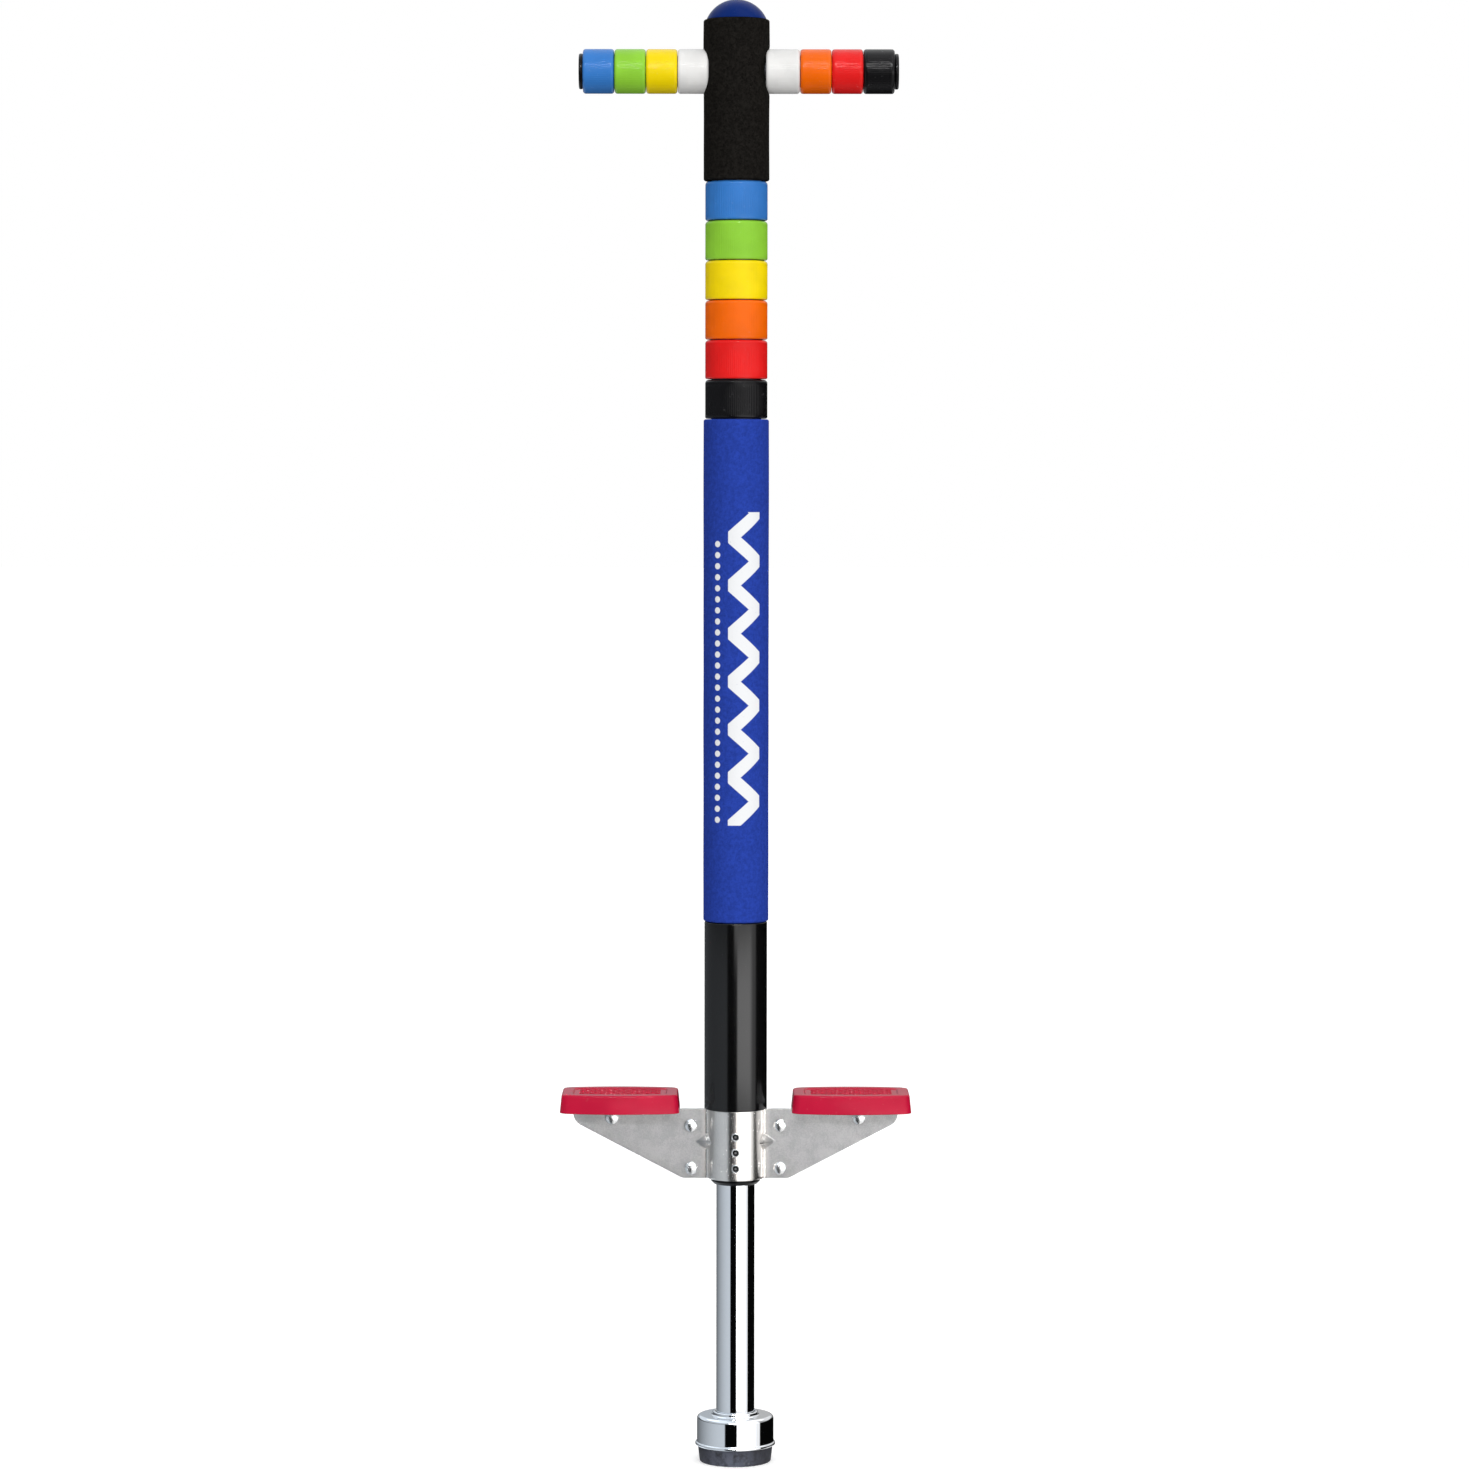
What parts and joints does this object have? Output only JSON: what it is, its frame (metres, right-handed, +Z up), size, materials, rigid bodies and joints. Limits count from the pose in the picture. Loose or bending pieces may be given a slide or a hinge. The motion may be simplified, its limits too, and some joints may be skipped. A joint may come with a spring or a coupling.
{
  "type": "pogo stick",
  "caption": "Child's spring pogo stick: foam and ribbed plastic rings on a steel column, T handlebar, foot pedals on a riveted bracket, and a sprung plunger with a rubber foot.",
  "frame": {"origin": "on the floor, on the column's axis, at the centre of the base of the bounding box", "axes": "+Z up along the column, -Y towards the front with the blind rivets, +X to the right as seen from the front"},
  "size_m": [0.2178, 0.0502, 0.9068],
  "materials": {
    "chrome": "polished chrome plate",
    "zinc_steel": "satin bright plate",
    "tube_steel": "drawn steel",
    "rivet_steel": "bright plate",
    "spring_steel": "oiled spring steel",
    "black_foam": "closed-cell foam with a matt skin",
    "blue_foam": "closed-cell foam with a matt skin",
    "black_gloss_plastic": "smooth gloss",
    "black_plastic": "moulded, finely ribbed on the rings",
    "white_plastic": "moulded, finely ribbed",
    "yellow_plastic": "moulded, finely ribbed",
    "green_plastic": "moulded, finely ribbed",
    "blue_plastic": "moulded, finely ribbed",
    "orange_plastic": "moulded, finely ribbed",
    "red_plastic": "moulded, finely ribbed",
    "navy_plastic": "smooth gloss",
    "crimson_plastic": "moulded satin gloss",
    "grey_rubber": "matt",
    "black_rubber": "matt"
  },
  "bodies": {
    "stick": {"outer_tube": "tube_steel", "handlebar_tube": "tube_steel", "handlebar_screw": "rivet_steel", "dome_cap": "navy_plastic", "upper_foam_grip": "black_foam", "bar_end_cap_left": "black_plastic", "bar_end_cap_right": "black_plastic", "foam_sleeve": "blue_foam", "lower_sleeve": "black_gloss_plastic", "front_bracket": "zinc_steel", "rear_bracket": "zinc_steel", "pedal_left": "crimson_plastic", "pedal_right": "crimson_plastic", "lower_bushing": "black_plastic", "upper_spring_seat": "black_plastic", "spring_stop_pin": "rivet_steel", "main_spring": "spring_steel", "column_ring_black": "black_plastic", "column_ring_red": "red_plastic", "column_ring_orange": "orange_plastic", "column_ring_yellow": "yellow_plastic", "column_ring_green": "green_plastic", "column_ring_blue": "blue_plastic", "handle_ring_left_white": "white_plastic", "handle_ring_left_yellow": "yellow_plastic", "handle_ring_left_green": "green_plastic", "handle_ring_left_blue": "blue_plastic", "handle_ring_right_white": "white_plastic", "handle_ring_right_orange": "orange_plastic", "handle_ring_right_red": "red_plastic", "handle_ring_right_black": "black_plastic", "rivet_left_upper": "rivet_steel", "rivet_left_lower": "rivet_steel", "rivet_left_outer": "rivet_steel", "pedal_screw_left_front": "rivet_steel", "pedal_screw_left_rear": "rivet_steel", "rivet_right_upper": "rivet_steel", "rivet_right_lower": "rivet_steel", "rivet_right_outer": "rivet_steel", "pedal_screw_right_front": "rivet_steel", "pedal_screw_right_rear": "rivet_steel", "barrel_rivet_top": "rivet_steel", "barrel_rivet_middle": "rivet_steel", "barrel_rivet_bottom": "rivet_steel"},
    "plunger": {"plunger_tube": "chrome", "piston_guide": "black_plastic", "rebound_bumper": "black_rubber", "foot_cup": "chrome", "plunger_plug": "tube_steel", "rubber_tip": "grey_rubber"}
  },
  "joints": [
    {"name": "plunger_slide", "type": "slide", "parent": "stick", "child": "plunger", "axis": [0, 0, 1], "range_m": [0, 0.11], "stiffness_N_per_m": 3900, "springref_m": -0.01, "deforming": ["main_spring"]}
  ]
}
